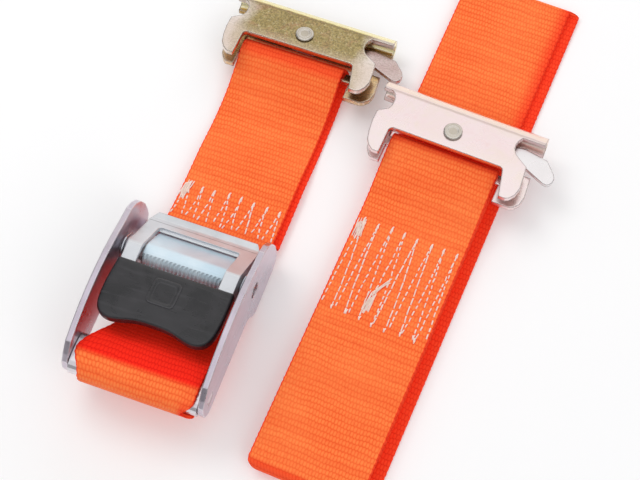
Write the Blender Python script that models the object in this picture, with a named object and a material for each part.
"""Cam-buckle tie-down strap with two E-track spring fittings, laid out flat.

Frame of reference: +Z up, floor at Z = 0, +Y from the buckle towards its own
track fitting, X across the webbing.  The buckle's front is its -Y end.  The
origin is on the floor below the middle of the whole lay-out's bounds; the
buckle is drawn about its own pivot pin and set back from there by ORIGIN_X and
ORIGIN_Y.  Numbers are millimetres; MM turns them into metres when a mesh is made.
"""
import bpy
import bmesh
from math import sin, cos, tan, pi, radians, degrees, atan2
from mathutils import Vector

MM = 0.001

# ------------------------------------------------------------------ dimensions
ORIGIN_X, ORIGIN_Y = 52.0, 60.6   # middle of the lay-out, seen from the buckle's pivot
GAP = 0.3                         # clearance between neighbouring parts

# webbing
WEB_T = 1.6             # thickness
LONG_W = 50.8           # long strap width (2 inch)
SHORT_W = 49.6          # the short strap runs a little narrow
BUCKLE_W = 51.6         # the wrap over the crossbar is pressed a little wide
LOOP_R = 3.05 + WEB_T / 2   # webbing centre line round the anchor and fitting bars

# buckle frame
FRAME_X = 31.8          # outer face of the side plates
FRAME_T = 2.6           # side plate sheet
PLATE_IN_X = FRAME_X - FRAME_T
BASE_Z0, BASE_Z1 = 3.6, 6.2     # base plate, bottom and top
BASE_Y0, BASE_Y1 = 2.0, 21.6
SLOT_X = 28.8           # half width of the slot ahead of the anchor strip
SLOT_Y0, SLOT_Y1 = 10.6, 16.6
ANCHOR_Y = (SLOT_Y1 + BASE_Y1) / 2
ANCHOR_Z = (BASE_Z0 + BASE_Z1) / 2

PIVOT_Z = 22.6          # cam pivot height
PIN_R = 3.5
BORE_PLAY = 0.35        # radial play of a bore
BORE_R = PIN_R + BORE_PLAY

BAR_Y, BAR_Z = -51.2, PIVOT_Z   # front crossbar middle, level with the pivot
BAR_A, BAR_B = 9.0, 5.2         # half width, half height of its oval
TENON_Y, TENON_Z = 2.5, 2.0     # half sizes of its tenons

# lever and jaw
LEVER_X = 25.6          # half width of the lever
LEVER_T = 2.0
TONGUE_X = 21.8         # half width of the tongue inside the grip
TONGUE_Y = -12.4        # where the tongue starts
JAW_X = 18.3            # half length of the toothed jaw
JAW_T = 2.0

# track fitting, in its own frame: X along, Y to the folded ridge, Z off the track
FIT_X0, FIT_X1 = -36.7, 40.3
FIT_T = 2.5
FIT_GAP = 6.0           # inside gap between the two plates
FIT_RIDGE = 22.6
FIT_SLOT = 26.9         # half width of the webbing slot
FIT_RIVET_Y = 7.0
FIT_BAR_Y0, FIT_BAR_Y1 = -5.5, -1.0
FIT_BAR_YC = (FIT_BAR_Y0 + FIT_BAR_Y1) / 2   # swing axis of the fitting on the webbing
FIT_Z0 = -FIT_T / 2                 # underside of the lower plate
FIT_UPPER_Z0 = FIT_T / 2 + FIT_GAP  # inside of the upper plate
FIT_UPPER_Z1 = FIT_UPPER_Z0 + FIT_T
FIT_FOLD_R = (FIT_UPPER_Z1 + FIT_T / 2) / 2   # outer radius of the fold
FIT_FOLD_Z = (FIT_UPPER_Z1 - FIT_T / 2) / 2   # mid height between the plates
FIT_HOLE_R = 2.3        # rivet hole and spacer bore
FIT_SPACER_R = 3.5

# lay-out
SHORT_X, SHORT_ROT = 3.6, -0.55         # short strap offset and angle (deg)
SHORT_BAR_Y, SHORT_BAR_Z = 117.1, 8.8   # swing axis of its fitting, in the buckle frame
SHORT_TILT = -10.0
SHORT_FIT_DX = 1.75
LONG_X, LONG_Y, LONG_ROT = 86.7, 93.2, -3.1   # bundle origin seen from the pivot, angle
LONG_BAR_Y, LONG_BAR_Z = -2.6, 11.4
LONG_TILT = -2.0

# ------------------------------------------------------------------- materials
FINISHES = {
    "zinc_frame": dict(rgb=(0.49, 0.43, 0.50), roughness=0.32, metallic=0.9),
    "zinc_lever": dict(rgb=(0.56, 0.60, 0.64), roughness=0.30, metallic=0.9),
    "zinc_jaw": dict(rgb=(0.42, 0.58, 0.66), roughness=0.30, metallic=0.9),
    "zinc_bar": dict(rgb=(0.60, 0.56, 0.60), roughness=0.30, metallic=0.9),
    "steel_pin": dict(rgb=(0.55, 0.56, 0.58), roughness=0.35, metallic=1.0),
    "spring_steel": dict(rgb=(0.42, 0.44, 0.47), roughness=0.35, metallic=1.0),
    "black_plastic": dict(rgb=(0.035, 0.034, 0.038), roughness=0.38, metallic=0.0),
    "orange_web": dict(rgb=(0.97, 0.20, 0.045), roughness=0.75, metallic=0.0),
    "white_thread": dict(rgb=(0.83, 0.79, 0.76), roughness=0.7, metallic=0.0),
    "yellow_zinc": dict(rgb=(0.46, 0.37, 0.16), roughness=0.30, metallic=0.9),
    "pale_zinc": dict(rgb=(0.84, 0.76, 0.74), roughness=0.28, metallic=0.9),
}


def material(name, rgb, roughness, metallic):
    mat = bpy.data.materials.new(name + "_finish")
    mat.use_nodes = True
    shader = mat.node_tree.nodes["Principled BSDF"]
    shader.inputs["Base Color"].default_value = (*rgb, 1.0)
    shader.inputs["Roughness"].default_value = roughness
    shader.inputs["Metallic"].default_value = metallic
    mat.diffuse_color = (*rgb, 1.0)
    return mat


# ---------------------------------------------------------------------- objects
for old in list(bpy.data.objects):
    bpy.data.objects.remove(old, do_unlink=True)


def link(name, data, parent):
    obj = bpy.data.objects.new(name, data)
    obj.parent = parent
    bpy.context.scene.collection.objects.link(obj)
    return obj


def empty(name, location, rotation=(0.0, 0.0, 0.0), parent=None):
    """Joint frame: children are placed in its own axes.  Rotation in degrees."""
    frame = link(name, None, parent)
    frame.empty_display_size = 0.01
    frame.location = Vector(location) * MM
    frame.rotation_euler = [radians(angle) for angle in rotation]
    return frame


def finish_mesh(mesh, name):
    bmesh.ops.recalc_face_normals(mesh, faces=mesh.faces)
    for vert in mesh.verts:
        vert.co *= MM
    data = bpy.data.meshes.new(name)
    mesh.to_mesh(data)
    mesh.free()
    return data


def add(name, mesh, finish, parent, smooth=None):
    """Object from a bmesh; smooth is the sharp-edge angle in degrees."""
    data = finish_mesh(mesh, name)
    data.materials.append(material(name, **FINISHES[finish]))
    if smooth:
        data.shade_smooth()
        data.set_sharp_from_angle(angle=radians(smooth))
    return link(name, data, parent)


def boolean(target, mesh, operation="DIFFERENCE"):
    """Boolean tool: hidden wire object in the same frame as its target."""
    name = target.name + "_tool"
    tool = link(name, finish_mesh(mesh, name), target.parent)
    tool.hide_render = True
    tool.display_type = "WIRE"
    modifier = target.modifiers.new("cut", "BOOLEAN")
    modifier.operation = operation
    modifier.solver = "EXACT"
    modifier.object = tool


def edge_break(target, width):
    bevel = target.modifiers.new("edge_break", "BEVEL")
    bevel.width = width * MM
    bevel.segments = 1
    bevel.limit_method = "ANGLE"
    bevel.angle_limit = radians(60)


# ------------------------------------------------------------- outlines and paths
def rect(x0, x1, y0, y1):
    return [(x0, y0), (x1, y0), (x1, y1), (x0, y1)]


def circle(centre, radius, count):
    return [(centre[0] + radius * cos(2 * pi * i / count),
             centre[1] + radius * sin(2 * pi * i / count)) for i in range(count)]


def arc(centre, radius, start, end, steps):
    """Points from angle start to angle end, in degrees, both included."""
    angles = [radians(start + (end - start) * i / steps) for i in range(steps + 1)]
    return [(centre[0] + radius * cos(t), centre[1] + radius * sin(t)) for t in angles]


def bar_oval_point(half_width, half_height, power, angle):
    """Point of a superellipse about the middle of the front crossbar."""
    def reach(value):
        return abs(value) ** (2 / power) * (1 if value >= 0 else -1)
    return (BAR_Y + half_width * reach(cos(angle)), BAR_Z + half_height * reach(sin(angle)))


def rounded(outline, radii, steps):
    """Polygon with its corners blended; radii is one number or one per corner."""
    if not isinstance(radii, list):
        radii = [radii] * len(outline)
    points = []
    for i, radius in enumerate(radii):
        corner = Vector(outline[i])
        back = Vector(outline[i - 1]) - corner
        ahead = Vector(outline[(i + 1) % len(outline)]) - corner
        longest = 0.49 * min(back.length, ahead.length)
        back.normalize()
        ahead.normalize()
        setback = min(radius / max(1e-6, abs(tan(back.angle(ahead) / 2))), longest)
        for k in range(steps + 1):
            t = k / steps
            # quadratic blend through the corner stays inside it
            point = ((corner + back * setback) * (1 - t) ** 2 + corner * 2 * t * (1 - t)
                     + (corner + ahead * setback) * t ** 2)
            points.append((point.x, point.y))
    return points


def offsets(path):
    """Mitred normals of an open 2-D path (left of travel)."""
    normals = []
    for i, point in enumerate(path):
        back = Vector(point) - Vector(path[max(i - 1, 0)])
        ahead = Vector(path[min(i + 1, len(path) - 1)]) - Vector(point)
        before = back.normalized() if back.length > 1e-9 else ahead.normalized()
        after = ahead.normalized() if ahead.length > 1e-9 else before
        tangent = (before + after).normalized()
        mitre = 1.0 / max(0.6, tangent.dot(before))
        normals.append(Vector((-tangent.y, tangent.x)) * mitre)
    return normals


def both_sides(path, thickness):
    """The path moved half a thickness to its left, and to its right."""
    steps = [normal * (thickness / 2) for normal in offsets(path)]
    left = [(p[0] + step.x, p[1] + step.y) for p, step in zip(path, steps)]
    right = [(p[0] - step.x, p[1] - step.y) for p, step in zip(path, steps)]
    return left, right


def smooth_path(points, steps):
    """Catmull-Rom through a few control points."""
    controls = [Vector(p) for p in points]
    path = []
    for i in range(len(controls) - 1):
        p0 = controls[max(i - 1, 0)]
        p1 = controls[i]
        p2 = controls[i + 1]
        p3 = controls[min(i + 2, len(controls) - 1)]
        for k in range(steps):
            t = k / steps
            point = 0.5 * ((2 * p1) + (p2 - p0) * t + (2 * p0 - 5 * p1 + 4 * p2 - p3) * t * t
                           + (3 * p1 - p0 - 3 * p2 + p3) * t ** 3)
            path.append((point.x, point.y))
    path.append((controls[-1].x, controls[-1].y))
    return path


def top_z(path, y):
    """Height of the uppermost run of a (y, z) path at y."""
    return max(a[1] + (b[1] - a[1]) * (y - a[0]) / (b[0] - a[0])
               for a, b in zip(path, path[1:])
               if min(a[0], b[0]) <= y <= max(a[0], b[0]) and a[0] != b[0])


# ---------------------------------------------------------------- mesh builders
def place(axis, point, along):
    """Section point in 3-D: (y, z) for axis 'x', (x, y) for axis 'z'."""
    if axis == "x":
        return (along, point[0], point[1])
    return (point[0], point[1], along)


def ring(mesh, points):
    return [mesh.verts.new(p) for p in points]


def loft(mesh, rings, caps=True):
    """Skin between rings of equal count, with the two ends closed if asked."""
    for near, far in zip(rings, rings[1:]):
        for i in range(len(near)):
            j = (i + 1) % len(near)
            mesh.faces.new((near[i], near[j], far[j], far[i]))
    if caps:
        mesh.faces.new(rings[0][::-1])
        mesh.faces.new(rings[-1])


def lofted(sections):
    mesh = bmesh.new()
    loft(mesh, [ring(mesh, points) for points in sections])
    return mesh


def prisms(axis, pieces):
    """Closed prisms in one mesh; each piece is (outline, start, end) along the axis."""
    mesh = bmesh.new()
    for outline, start, end in pieces:
        loft(mesh, [ring(mesh, [place(axis, p, t) for p in outline]) for t in (start, end)])
    return mesh


def prism(outline, axis, start, end):
    return prisms(axis, [(outline, start, end)])


def tube(bore, radius, axis, start, end, count, centre=(0.0, 0.0)):
    mesh = bmesh.new()
    rings = [ring(mesh, [place(axis, p, t) for p in circle(centre, r, count)])
             for r, t in ((bore, start), (radius, start), (radius, end), (bore, end))]
    loft(mesh, rings + rings[:1], caps=False)
    return mesh


def lathe(profile, axis, count, centre):
    """Solid of revolution.  Profile is (radius, position), radius 0 at both ends."""
    mesh = bmesh.new()
    rings = []
    for radius, t in profile:
        points = circle(centre, radius, count) if radius > 0 else [centre]
        rings.append(ring(mesh, [place(axis, p, t) for p in points]))
    for near, far in zip(rings, rings[1:]):
        for i in range(count):
            j = (i + 1) % count
            if len(near) == 1:
                mesh.faces.new((near[0], far[i], far[j]))
            elif len(far) == 1:
                mesh.faces.new((near[i], near[j], far[0]))
            else:
                mesh.faces.new((near[i], near[j], far[j], far[i]))
    return mesh


WIRE_SIDES = 6


def wire(points, radius):
    """Round wire along a list of 3-D points."""
    path = [Vector(p) for p in points]
    sections = []
    up = None
    for i, point in enumerate(path):
        tangent = (path[min(i + 1, len(path) - 1)] - path[max(i - 1, 0)]).normalized()
        if up is None:
            up = tangent.orthogonal().normalized()
        up = (up - tangent * up.dot(tangent)).normalized()
        side = tangent.cross(up)
        angles = [2 * pi * k / WIRE_SIDES for k in range(WIRE_SIDES)]
        sections.append([point + (up * cos(t) + side * sin(t)) * radius for t in angles])
    return lofted(sections)


def ribbon(path, width, shifts):
    """Webbing along a (y, z) centre line; shifts holds the X of each station's middle."""
    half = width / 2
    return lofted([[(x - half, *a), (x + half, *a), (x + half, *b), (x - half, *b)]
                   for x, a, b in zip(shifts, *both_sides(path, WEB_T))])


SEAM_X0 = -21.6             # first peak of a seam
SEAM_PEAKS = 8
SEAM_BLUNT = 0.75           # half width of the turn at a peak
THREAD_W, THREAD_H = 0.7, 0.35
THREAD_LIFT = 0.12          # underside of the thread above the webbing


def stitching(strap_path, pitch, y_peak, y_foot, lean, steps):
    """Zigzag seam: one flat cord in long legs with blunt turns, on the strap's top layer."""
    cord = []
    for k in range(SEAM_PEAKS):
        x = SEAM_X0 + pitch * k
        legs = (((x - lean, y_foot), (x - SEAM_BLUNT, y_peak)),
                ((x + SEAM_BLUNT, y_peak), (x + lean, y_foot)))
        for (x0, y0), (x1, y1) in legs:
            cord += [(x0 + (x1 - x0) * i / steps, y0 + (y1 - y0) * i / steps)
                     for i in range(steps + 1)]
    sections = []
    for a, b in zip(*both_sides(cord, THREAD_W)):
        za, zb = [top_z(strap_path, y) + WEB_T / 2 + THREAD_LIFT for y in (a[1], b[1])]
        sections.append([(*a, za + THREAD_H), (*b, zb + THREAD_H), (*b, zb), (*a, za)])
    return lofted(sections)


# ========================================================= BUCKLE (fixed body)
THROUGH_X = 40.0        # reach of tools that cut right across the buckle

# side plate outline (y, z), from the low rear corner round over the top
PLATE_REAR = [(24.2, 7.5), (24.5, 12.5), (23.9, 19.0), (21.6, 25.5), (18.2, 30.2), (13.6, 33.4)]
PLATE_TOP_Y = (8.0, 0.0, -9.0, -18.0, -27.0, -36.0, -44.0, -51.0)
PLATE_FRONT = [(-55.4, 30.2), (-58.0, 26.8), (-59.0, 22.6), (-58.4, 18.0), (-56.2, 15.2),
               (-52.8, 14.2)]
PLATE_LOW = [(-34.0, 14.0), (-11.4, 13.2), (-8.6, 11.4), (-6.2, 6.6), (-2.6, 3.9),
             (2.0, BASE_Z0), (18.0, BASE_Z0), (21.8, 4.5)]
# the rim is a shallow crown: height and place of its top, drop at a given distance
RIM_Z, RIM_Y, RIM_DROP, RIM_REACH = 39.2, -21.0, 6.4, 34.0


def plate_outline():
    top = [(y, RIM_Z - RIM_DROP * ((y - RIM_Y) / RIM_REACH) ** 2) for y in PLATE_TOP_Y]
    return PLATE_REAR + top + PLATE_FRONT + PLATE_LOW


def tenon_outline(play):
    half_y, half_z = TENON_Y + play, TENON_Z + play
    return rect(BAR_Y - half_y, BAR_Y + half_y, BAR_Z - half_z, BAR_Z + half_z)


def build_frame():
    frame = add("buckle_frame", prism(plate_outline(), "x", PLATE_IN_X, FRAME_X),
                "zinc_frame", buckle)
    # second side plate and the base plate, joined into the one stamping
    boolean(frame, prism(plate_outline(), "x", -FRAME_X, -PLATE_IN_X), "UNION")
    base = rect(-FRAME_X + 1.0, FRAME_X - 1.0, BASE_Y0, BASE_Y1)
    boolean(frame, prism(base, "z", BASE_Z0 + 0.02, BASE_Z1), "UNION")
    # slot that leaves the anchor strip, pivot holes, tenon slots
    slot = rounded(rect(-SLOT_X, SLOT_X, SLOT_Y0, SLOT_Y1), 0.6, 2)
    boolean(frame, prism(slot, "z", BASE_Z0 - 4, BASE_Z1 + 4))
    for hole in (circle((0.0, PIVOT_Z), BORE_R, 24), tenon_outline(GAP)):
        boolean(frame, prism(hole, "x", -THROUGH_X, THROUGH_X))
    edge_break(frame, 0.45)


def build_crossbar():
    """Oval body between the plates, square tenons through them."""
    oval = [bar_oval_point(BAR_A, BAR_B, 2.6, 2 * pi * i / 24) for i in range(24)]
    half = PLATE_IN_X - GAP
    crossbar = add("front_crossbar", prism(oval, "x", -half, half), "zinc_bar", buckle)
    half = FRAME_X - 0.1
    boolean(crossbar, prism(tenon_outline(0.0), "x", -half, half), "UNION")


# one end of the pivot pin: radius, depth below the outer face of the plate
PIN_END = [(0.0, 2.0), (1.5, 1.7), (2.3, 0.75), (2.8, 0.75), (PIN_R, 1.4)]


def build_pin():
    profile = [(radius, -FRAME_X + depth) for radius, depth in PIN_END]
    profile += [(radius, FRAME_X - depth) for radius, depth in PIN_END[::-1]]
    add("pivot_pin", lathe(profile, "x", 24, (0.0, PIVOT_Z)), "steel_pin", buckle, smooth=40)


buckle = empty("buckle_axis", (-ORIGIN_X, -ORIGIN_Y, 0))
build_frame()
build_crossbar()
build_pin()

# ============================================================ LEVER (cam hinge)
lever = empty("lever_axis", (0, 0, PIVOT_Z), parent=buckle)

# upper face of the lever, rear to front: (y, z) in the buckle's frame
LEVER_TOP = [(24.3, 13.2), (21.1, 13.9), (20.2, 14.5), (1.2, 31.3), (0.2, 31.8), (-1.2, 31.95),
             (-8.6, 31.7), (-31.0, 34.9)]
# side cheek: (y, z) in the buckle's frame, corner radius
CHEEK = [(15.5, 17.2, 0.4), (1.2, 30.2, 0.8), (-10.5, 30.4, 0.8), (-8.6, 24.0, 4),
         (-4.0, 16.4, 4), (4.0, 15.4, 4), (8.0, 17.4, 2)]
# waste at a rear corner of the lever: x beyond the lever's side, y
REAR_CORNER = [(1.0, 25.5), (1.0, 19.6), (-0.25, 20.6), (-1.3, 22.8), (-3.2, 25.5)]


def to_lever(points):
    """Buckle (y, z) to the lever's own frame."""
    return [(y, z - PIVOT_Z) for y, z in points]


def build_lever():
    top = to_lever(LEVER_TOP)
    # travel runs rear to front, so the left normal points down
    low = [(y + normal.x * LEVER_T, z + normal.y * LEVER_T)
           for (y, z), normal in zip(top, offsets(top))]
    plate = add("cam_lever", prism(top + low[::-1], "x", -LEVER_X, LEVER_X), "zinc_lever", lever)
    cheek = rounded(to_lever([(y, z) for y, z, _ in CHEEK]), [radius for _, _, radius in CHEEK], 3)
    for side in (-1, 1):
        x0, x1 = sorted((side * (LEVER_X - LEVER_T), side * (LEVER_X - 0.02)))
        boolean(plate, prism(cheek, "x", x0, x1), "UNION")
    # window over the pivot
    boolean(plate, prism(rounded(rect(-18.9, 18.9, 15.4, -11.5), 1.6, 3), "z", -5, 30))
    # sides narrowed to the tongue that the grip covers
    boolean(plate, prisms("z", [(rect(side * TONGUE_X, side * 40, TONGUE_Y, -45)[::-1], -30, 30)
                                for side in (-1, 1)]))
    # pin bore
    boolean(plate, prism(circle((0, 0), BORE_R, 24), "x", -THROUGH_X, THROUGH_X))
    # rounded rear corners
    boolean(plate, prisms("z", [([(side * (LEVER_X + x), y) for x, y in REAR_CORNER], -30, 10)
                                for side in (-1, 1)]))
    edge_break(plate, 0.35)


CURL_START = 205.0          # angle of the curl's free edge about the pin, deg
CURL_STEPS = 13
JAW_FLAT = (0.6884, -0.7254)    # direction of the flat, (y, z)
JAW_FLAT_STATIONS = (7.0, 15.5)  # distances along the flat
# bend down to the lip: step length, direction (y, z)
JAW_LIP = [(1.4, (0.35, -0.937)), (3.8, (0.0, -1.0))]
TOOTH_STEP = 0.915          # from a tooth to the next gap
LIP_TOOTH, LIP_GAP = 1.5, 0.35  # reach past the lip's end
CURL_TOOTH = 1.3            # reach past the curl's free edge; a gap has a quarter of it
KNURL_FROM, KNURL_TO, KNURL_SCALE = 117.0, 157.0, 0.915   # angles of the band, groove radius


def jaw_centre_line():
    """Middle of the jaw's sheet (y, z), curl to lip, and the lip's direction."""
    direction = Vector(JAW_FLAT).normalized()
    curl_end = degrees(atan2(direction.x, -direction.y))
    centre = arc((0.0, 0.0), BORE_R + JAW_T / 2, CURL_START, curl_end, CURL_STEPS)
    flat_start = Vector(centre[-1])
    for distance in JAW_FLAT_STATIONS:
        point = flat_start + direction * distance
        centre.append((point.x, point.y))
    for step, turn in JAW_LIP:
        direction = Vector(turn).normalized()
        point = point + direction * step
        centre.append((point.x, point.y))
    return centre, direction


def knurled(point):
    """A groove of the knurled band on the curl's front shoulder."""
    if KNURL_FROM < degrees(atan2(point[1], point[0])) < KNURL_TO:
        return (point[0] * KNURL_SCALE, point[1] * KNURL_SCALE)
    return point


def build_jaw():
    """Rolled jaw: knurled curl round the pin, flat under the lever's window, toothed lip."""
    centre, lip_direction = jaw_centre_line()
    outer, inner = both_sides(centre, JAW_T)    # the curl runs clockwise: left is outside
    start = radians(CURL_START)
    curl_reach = Vector((sin(start), -cos(start))) * CURL_TOOTH
    curl_edge, lip_edge = Vector(centre[0]), Vector(centre[-1])
    count = round(2 * JAW_X / TOOTH_STEP)
    sections = []
    for k in range(count + 1):
        x = -JAW_X + 2 * JAW_X * k / count
        if k % 2:
            profile = outer + [lip_edge + lip_direction * LIP_TOOTH]
            profile += inner[::-1] + [curl_edge + curl_reach]
        else:
            profile = [knurled(p) for p in outer] + [lip_edge + lip_direction * LIP_GAP]
            profile += inner[::-1] + [curl_edge + curl_reach * 0.25]
        sections.append([place("x", p, x) for p in profile])
    add("cam_jaw", lofted(sections), "zinc_jaw", lever, smooth=35)


RETURN_WIRE_R = 0.55
RETURN_COIL_R = BORE_R + 1.35
RETURN_TURNS, RETURN_STEPS = 1.30, 22
RETURN_START = radians(150)
RETURN_LEG = (-4.6, -4.4)   # (y, z) from the coil's start to the inboard leg's end
RETURN_LEG_LENGTH = 5.5     # straight leg at the plate end


def build_return_spring(prefix, side):
    """Torsion spring between the lever's side and the side plate."""
    x0 = LEVER_X + GAP + RETURN_WIRE_R
    x1 = PLATE_IN_X - GAP - RETURN_WIRE_R
    coil = []
    for i in range(RETURN_STEPS + 1):
        t = i / RETURN_STEPS
        angle = RETURN_START - 2 * pi * RETURN_TURNS * t
        coil.append((side * (x0 + (x1 - x0) * t), RETURN_COIL_R * cos(angle),
                     RETURN_COIL_R * sin(angle)))
    first, last = coil[0], coil[-1]
    inboard = (first[0], first[1] + RETURN_LEG[0], first[2] + RETURN_LEG[1])
    outboard = (last[0], last[1] + RETURN_LEG_LENGTH * sin(angle),
                last[2] - RETURN_LEG_LENGTH * cos(angle))
    add(prefix + "_return_spring", wire([inboard] + coil + [outboard], RETURN_WIRE_R),
        "spring_steel", lever, smooth=60)


def build_pin_spacer(prefix, side):
    x0, x1 = sorted((side * (JAW_X + GAP), side * (LEVER_X - LEVER_T - GAP)))
    add(prefix + "_pin_spacer", tube(BORE_R, BORE_R + 1.5, "x", x0, x1, 20),
        "steel_pin", lever, smooth=40)


GRIP_REAR_Y = -8.9
GRIP_MID_Y = -22.0
GRIP_REAR_Z, GRIP_SLOPE = 33.6, 0.150   # top face: height at the rear, rise towards the front
# +X half of the grip's outline (x, y), rear to front; the front edge is concave
GRIP_HALF = [(24.9, GRIP_REAR_Y), (26.5, -14.0), (26.8, -20.0), (26.5, -27.0), (25.9, -31.2),
             (24.2, -34.4), (21.4, -36.2), (18.4, -36.6), (14.6, -36.0), (9.6, -34.6),
             (4.6, -33.8)]
# section of the grip's edge: inset, height from the top face
GRIP_LEVELS = [(1.8, -6.9), (0.5, -6.2), (0.0, -5.0), (0.0, -2.0), (0.6, -0.75), (2.2, 0.0)]
POCKET_Y0 = -6.0            # both pockets open through the rear of the grip
POCKET_TOP_PLAY, POCKET_LOW_PLAY, POCKET_SIDE_PLAY = 0.32, 0.36, 0.35


def grip_outline(inset):
    points = GRIP_HALF + [(-x, y) for x, y in GRIP_HALF[::-1]]
    outline = []
    for i, (x, y) in enumerate(points):
        tangent = (Vector(points[(i + 1) % len(points)]) - Vector(points[i - 1])).normalized()
        outline.append((x + tangent.y * inset, y - tangent.x * inset))
    return outline


def grip_top(y):
    return GRIP_REAR_Z + GRIP_SLOPE * (GRIP_REAR_Y - y) - PIVOT_Z


def grip_pocket(y_end, depth, half_x):
    """Tool that follows the lever's front slope, to a depth below its upper face."""
    (rear_y, rear_z), (front_y, front_z) = to_lever(LEVER_TOP[-2:])
    slope = (front_z - rear_z) / (rear_y - front_y)
    z0, z1 = [rear_z + slope * (rear_y - y) for y in (POCKET_Y0, y_end)]
    outline = [(POCKET_Y0, z0 + POCKET_TOP_PLAY), (y_end, z1 + POCKET_TOP_PLAY),
               (y_end, z1 - depth), (POCKET_Y0, z0 - depth)]
    return prism(outline, "x", -half_x, half_x)


def build_grip():
    mesh = bmesh.new()
    rings = [ring(mesh, [(x, y, grip_top(y) + height) for x, y in grip_outline(inset)])
             for inset, height in GRIP_LEVELS]
    loft(mesh, rings, caps=False)
    # fan the two end faces from a middle vertex, so the concave edge stays true
    for edge, (_, height) in ((rings[0], GRIP_LEVELS[0]), (rings[-1], GRIP_LEVELS[-1])):
        middle = mesh.verts.new((0, GRIP_MID_Y, grip_top(GRIP_MID_Y) + height))
        for i in range(len(edge)):
            mesh.faces.new((edge[i], edge[(i + 1) % len(edge)], middle))
    grip = add("lever_grip", mesh, "black_plastic", lever, smooth=30)
    # pocket for the tongue, then the wider one for the lever behind it
    boolean(grip, grip_pocket(-31.4, LEVER_T + POCKET_LOW_PLAY, TONGUE_X + POCKET_SIDE_PLAY))
    boolean(grip, grip_pocket(-12.8, 9.0, LEVER_X + POCKET_SIDE_PLAY))


build_lever()
build_jaw()
for side_name, side_sign in (("left", -1), ("right", 1)):
    build_pin_spacer(side_name, side_sign)
    build_return_spring(side_name, side_sign)
build_grip()


# ============================================================= BUCKLE WEBBING
def build_buckle_webbing():
    on_base = BASE_Z1 + GAP + WEB_T / 2
    run = smooth_path([(7.6, on_base), (0.0, on_base), (-7.0, 7.7), (-20.0, 12.6),
                       (-33.0, 21.6), (-41.5, 27.9)], 4)
    off_bar = 0.35 + WEB_T / 2
    over = [bar_oval_point(BAR_A + off_bar, BAR_B + off_bar, 2.5,
                           radians(62 + (290 - 62) * i / 16)) for i in range(17)]
    back = smooth_path([(-42.0, 14.0), (-35.0, 8.2), (-26.0, 3.2), (-14.0, 1.15),
                        (0.0, 1.05), (11.0, 1.05)], 4)
    path = run + over + back
    # the upper run eases sideways towards the bar; past 0.72 of the stations it lies straight
    shifts = []
    for i, (y, _) in enumerate(path):
        ease = min(1.0, max(0.0, (-24.0 - y) / 18.0))
        shifts.append(2.8 - ease if i / (len(path) - 1.0) < 0.72 else 1.8)
    add("buckle_webbing", ribbon(path, BUCKLE_W, shifts), "orange_web", buckle)


build_buckle_webbing()

# ================================================================ SHORT STRAP
SHORT_FIT_Y = SHORT_BAR_Y - ANCHOR_Y    # fitting bar in the strap's own frame
SHORT_FIT_Z = SHORT_BAR_Z - ANCHOR_Z
SHORT_SHIFT = 2.5                       # side shift of the layer underneath


def build_short_strap():
    """Webbing looped round the fitting bar and the anchor strip, drawn at floor height."""
    # hidden end under the seam, out to the fitting
    under = smooth_path([(9.5, 3.3), (24.0, 3.2), (42.0, 3.05), (58.0, 1.05), (77.0, 1.05),
                         (88.5, 2.4), (SHORT_FIT_Y - 2.2, SHORT_BAR_Z - LOOP_R)], 3)
    loop_steps = 10
    path = under + arc((SHORT_FIT_Y, SHORT_BAR_Z), LOOP_R, -78, 78, loop_steps)
    path += smooth_path([(SHORT_FIT_Y - 2.2, SHORT_BAR_Z + LOOP_R), (88.0, 8.6), (75.0, 4.0),
                         (60.0, 3.2), (44.0, 5.2), (24.0, 5.6), (13.0, 6.6),
                         (2.6, ANCHOR_Z + LOOP_R)], 3)
    path += arc((0, ANCHOR_Z), LOOP_R, 98, 262, 10)
    path += smooth_path([(2.6, ANCHOR_Z - LOOP_R), (10.0, 1.05), (24.0, 1.05), (41.0, 1.0)], 3)
    path = [(y, z - ANCHOR_Z) for y, z in path]
    # the shift fades out round the fitting bar
    loop_end = len(under) + loop_steps
    shifts = [SHORT_SHIFT * min(1.0, max(0.0, (loop_end - i) / loop_steps))
              for i in range(len(path))]
    add("short_strap", ribbon(path, SHORT_W, shifts), "orange_web", short)
    seam = stitching(path, pitch=6.15, y_peak=25.2, y_foot=10.8, lean=1.85, steps=8)
    add("short_strap_stitching", seam, "white_thread", short)


short = empty("short_strap_axis", (SHORT_X, ANCHOR_Y, ANCHOR_Z), (0, 0, SHORT_ROT), buckle)
build_short_strap()

# ============================================================= TRACK FITTINGS
FAR = 60.0              # reach of tools beyond the fitting
FIT_THROUGH = (-30, 40)     # z range through both plates

# waste outlines (x, y) in the fitting's own frame
UPPER_SLOT = [(-FIT_SLOT, -FAR), (FIT_SLOT + 2.6, -FAR), (FIT_SLOT + 2.6, -15.0),
              (FIT_SLOT, -2.8), (FIT_SLOT - 0.5, -1.7), (FIT_SLOT - 1.6, -1.1),
              (-FIT_SLOT + 1.6, -1.1), (-FIT_SLOT + 0.5, -1.7), (-FIT_SLOT, -2.8)]
NOTCH_LEFT = [(-FAR, 4.2), (-35.4, 4.3), (-33.6, 5.7), (-31.2, 7.2), (-30.2, 9.2),
              (-30.2, 12.6), (-31.2, 15.4), (-32.6, 16.6), (-FAR, 17.0)]
NOTCH_RIGHT = [(29.8, 16.2), (28.6, 14.2), (28.1, 12.2), (28.2, 9.8), (29.7, 7.2),
               (36.0, 3.0), (FAR, 3.0), (FAR, 16.4)]
LEG_LEFT = [(-FAR, 4.5), (-35.4, 4.5), (-35.5, -1.0), (-34.9, -6.6), (-33.9, -10.8),
            (-32.2, -13.4), (-29.8, -15.3), (-29.8, -30), (-FAR, -30)]
LEG_RIGHT_UPPER = [(FAR, 3.3), (36.1, 3.3), (36.6, -1.0), (37.2, -8.0), (36.2, -11.8),
                   (34.5, -14.2), (32.6, -15.3), (32.6, -30), (FAR, -30)]
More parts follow.
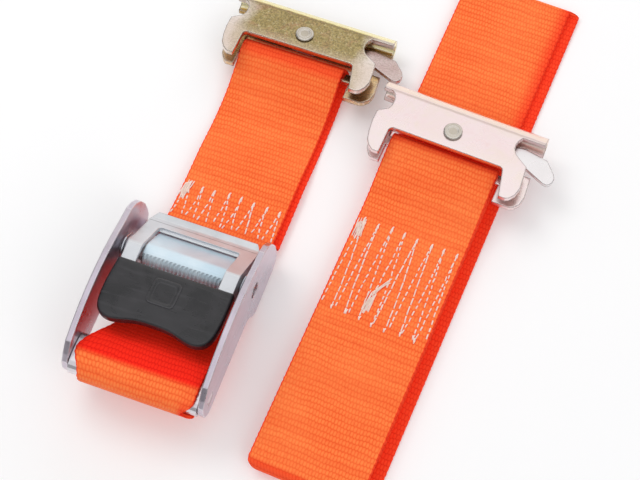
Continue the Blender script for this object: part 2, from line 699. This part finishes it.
LEG_RIGHT_LOWER = [(FAR, 3.3), (38.9, 3.3), (39.4, -2.0), (39.8, -7.0), (38.9, -11.2),
                   (36.8, -13.6), (34.4, -14.6), (34.4, -30), (FAR, -30)]

# rivet, radius and z: low head from the underside, high head from the upper face
RIVET_LOW = [(0.0, -1.25), (1.6, -1.15), (3.0, -0.75), (3.3, -GAP), (2.0, -GAP)]
RIVET_HIGH = [(2.0, GAP), (4.3, GAP), (4.3, 0.75), (3.7, 1.15), (2.7, 1.2), (2.1, 0.95),
              (0.0, 0.85)]

# latch plate outline (x, y) about the rivet
LATCH = [(-4.6, -4.6), (-6.2, 0.0), (-4.6, 4.6), (0.0, 6.0), (9.0, 5.0), (22.0, 5.8),
         (29.5, 6.9), (32.4, 7.3), (38.0, 6.4), (43.2, 5.3), (48.0, 0.0), (49.0, -2.2),
         (48.6, -4.6), (47.0, -6.2), (44.8, -6.0), (33.0, -0.8), (28.0, -0.4), (12.0, -2.4),
         (5.0, -5.2)]
LATCH_Z0, LATCH_Z1 = 2.6, 4.6

LATCH_WIRE_R = 0.42
LATCH_COIL_R = 4.75
LATCH_TURNS, LATCH_STEPS = 1.22, 20
LATCH_COIL_START = 50.0     # deg
LATCH_COIL_Z, LATCH_COIL_RISE = 5.2, 1.25
LATCH_LEG_LENGTH = 6.0


def from_bar(y):
    """Fitting Y to the swing frame, whose origin is on the webbing bar."""
    return y - FIT_BAR_YC


def build_fitting_body(prefix, axis, plating):
    """Sheet folded at the ridge into a lower and an upper plate, then cut to shape."""
    fold = (from_bar(FIT_RIDGE - FIT_FOLD_R), FIT_FOLD_Z)
    profile = [(from_bar(-14.4), FIT_Z0)]
    profile += arc(fold, FIT_FOLD_R, -90, 90, 9)
    profile += [(from_bar(-15.1), FIT_UPPER_Z1), (from_bar(-15.1), FIT_UPPER_Z0)]
    profile += arc(fold, FIT_FOLD_R - FIT_T, 90, -90, 6)
    profile += [(from_bar(-14.4), FIT_T / 2)]
    body = add(prefix + "_body", prism(profile, "x", FIT_X0, FIT_X1), plating, axis)

    def cut(*pieces):
        boolean(body, prisms("z", [([(x, from_bar(y)) for x, y in outline], z0, z1)
                                   for outline, z0, z1 in pieces]))

    # upper plate: open slot that the webbing hangs through
    cut((UPPER_SLOT, FIT_FOLD_Z, 30))
    # lower plate: closed window above the webbing bar, open below it
    cut((rect(-FIT_SLOT, FIT_SLOT, FIT_BAR_Y1, 2.9), -20, FIT_FOLD_Z))
    cut((rect(-FIT_SLOT, FIT_SLOT, -FAR, FIT_BAR_Y0), -20, FIT_FOLD_Z - 0.1))
    # side notches that catch the track slot, and the leg outlines
    cut((NOTCH_LEFT, *FIT_THROUGH), (NOTCH_RIGHT, *FIT_THROUGH))
    cut((LEG_LEFT, *FIT_THROUGH), (LEG_RIGHT_UPPER, 4.2, 40))
    # the lower plate's +X leg stands out a little wider
    cut((LEG_RIGHT_LOWER, -30, 4.4))
    cut((circle((0.0, FIT_RIVET_Y), FIT_HOLE_R, 16), *FIT_THROUGH))


def build_rivet(prefix, axis, plating):
    """Rivet with a head outside each plate, and the bush between the plates."""
    centre = (0.0, from_bar(FIT_RIVET_Y))
    profile = [(radius, FIT_Z0 + z) for radius, z in RIVET_LOW]
    profile += [(radius, FIT_UPPER_Z1 + z) for radius, z in RIVET_HIGH]
    add(prefix + "_rivet", lathe(profile, "z", 16, centre), plating, axis, smooth=35)
    bush = tube(FIT_HOLE_R, FIT_SPACER_R, "z", FIT_T / 2 + GAP, FIT_UPPER_Z0 - GAP, 16, centre)
    add(prefix + "_spacer", bush, "steel_pin", axis, smooth=40)


def build_latch(prefix, axis, plating):
    latch = add(prefix + "_latch", prism(rounded(LATCH, 1.2, 2), "z", LATCH_Z0, LATCH_Z1),
                plating, axis)
    boolean(latch, prism(circle((0, 0), FIT_SPACER_R + BORE_PLAY, 16), "z", -10, 20))


def build_latch_spring(prefix, axis):
    """Torsion spring round the spacer, with one straight leg."""
    coil = []
    for i in range(LATCH_STEPS + 1):
        t = i / LATCH_STEPS
        angle = radians(LATCH_COIL_START) - 2 * pi * LATCH_TURNS * t
        coil.append((LATCH_COIL_R * cos(angle), LATCH_COIL_R * sin(angle),
                     LATCH_COIL_Z + LATCH_COIL_RISE * t))
    x, y, z = coil[0]
    tangent = radians(LATCH_COIL_START - 90)
    leg = (x + LATCH_LEG_LENGTH * cos(tangent), y + LATCH_LEG_LENGTH * sin(tangent), z)
    add(prefix + "_spring", wire([leg] + coil, LATCH_WIRE_R), "spring_steel", axis, smooth=60)


def build_fitting(strap_name, parent, location, tilt, plating):
    """One E-track spring fitting, swung about the webbing bar at location."""
    swing = empty(strap_name + "_fitting_axis", location, (tilt, 0, 0), parent)
    latch_axis = empty(strap_name + "_latch_axis", (0, from_bar(FIT_RIVET_Y), 0), parent=swing)
    prefix = strap_name + "_fitting"
    build_fitting_body(prefix, swing, plating)
    build_rivet(prefix, swing, plating)
    build_latch(prefix, latch_axis, plating)
    build_latch_spring(prefix, latch_axis)


build_fitting("short", short, (SHORT_FIT_DX, SHORT_FIT_Y, SHORT_FIT_Z), SHORT_TILT, "yellow_zinc")

# ========================================================== LONG STRAP BUNDLE
LONG_SHIFT = 4.8            # side shift of the bottom layer


def long_shift(y, z):
    """The bottom layer lies to one side; the shift fades through the folds at both ends."""
    if z < 2.2:
        return LONG_SHIFT
    if y < -155.0 and z < 9.0:
        return LONG_SHIFT * min(1.0, max(0.0, (8.6 - z) / 6.4))
    if y > 92.0:
        return LONG_SHIFT * min(1.0, max(0.0, (4.1 - z) / 2.6))
    return 0.0


def build_long_strap():
    # sewn-down end flap under the top layer, up to the bar
    path = smooth_path([(-87.0, 7.0), (-60.0, 6.95), (-34.0, 6.75), (-20.0, 6.6),
                        (LONG_BAR_Y - 2.2, LONG_BAR_Z - LOOP_R)], 3)
    path += arc((LONG_BAR_Y, LONG_BAR_Z), LOOP_R, -78, 78, 10)
    # top layer
    path += smooth_path([(LONG_BAR_Y - 2.2, LONG_BAR_Z + LOOP_R), (-16.0, 13.0), (-30.0, 9.4),
                         (-46.0, 8.95), (-90.0, 8.95), (-130.0, 8.7), (-158.0, 8.3)], 3)
    path += arc((-158.6, 4.65), 3.65, 96, 264, 8)
    # bottom layer
    path += smooth_path([(-158.0, 1.0), (-120.0, 0.95), (0.0, 0.95), (80.0, 1.0),
                         (94.0, 1.2)], 3)
    path += arc((95.6, 2.75), 1.55, -80, 80, 6)
    # middle layer
    path += smooth_path([(94.0, 4.25), (80.0, 3.6), (40.0, 3.3), (0.0, 3.2), (-60.0, 3.2),
                         (-140.0, 3.2)], 3)
    shifts = [long_shift(y, z) for y, z in path]
    add("long_strap", ribbon(path, LONG_W, shifts), "orange_web", long_axis)
    seam = stitching(path, pitch=6.3, y_peak=-42.4, y_foot=-86.2, lean=2.35, steps=12)
    add("long_strap_stitching", seam, "white_thread", long_axis)


long_axis = empty("long_strap_axis", (LONG_X - ORIGIN_X, LONG_Y - ORIGIN_Y, 0.0),
                  (0, 0, LONG_ROT))
build_long_strap()
build_fitting("long", long_axis, (0.0, LONG_BAR_Y, LONG_BAR_Z), LONG_TILT, "pale_zinc")

bpy.context.view_layer.update()
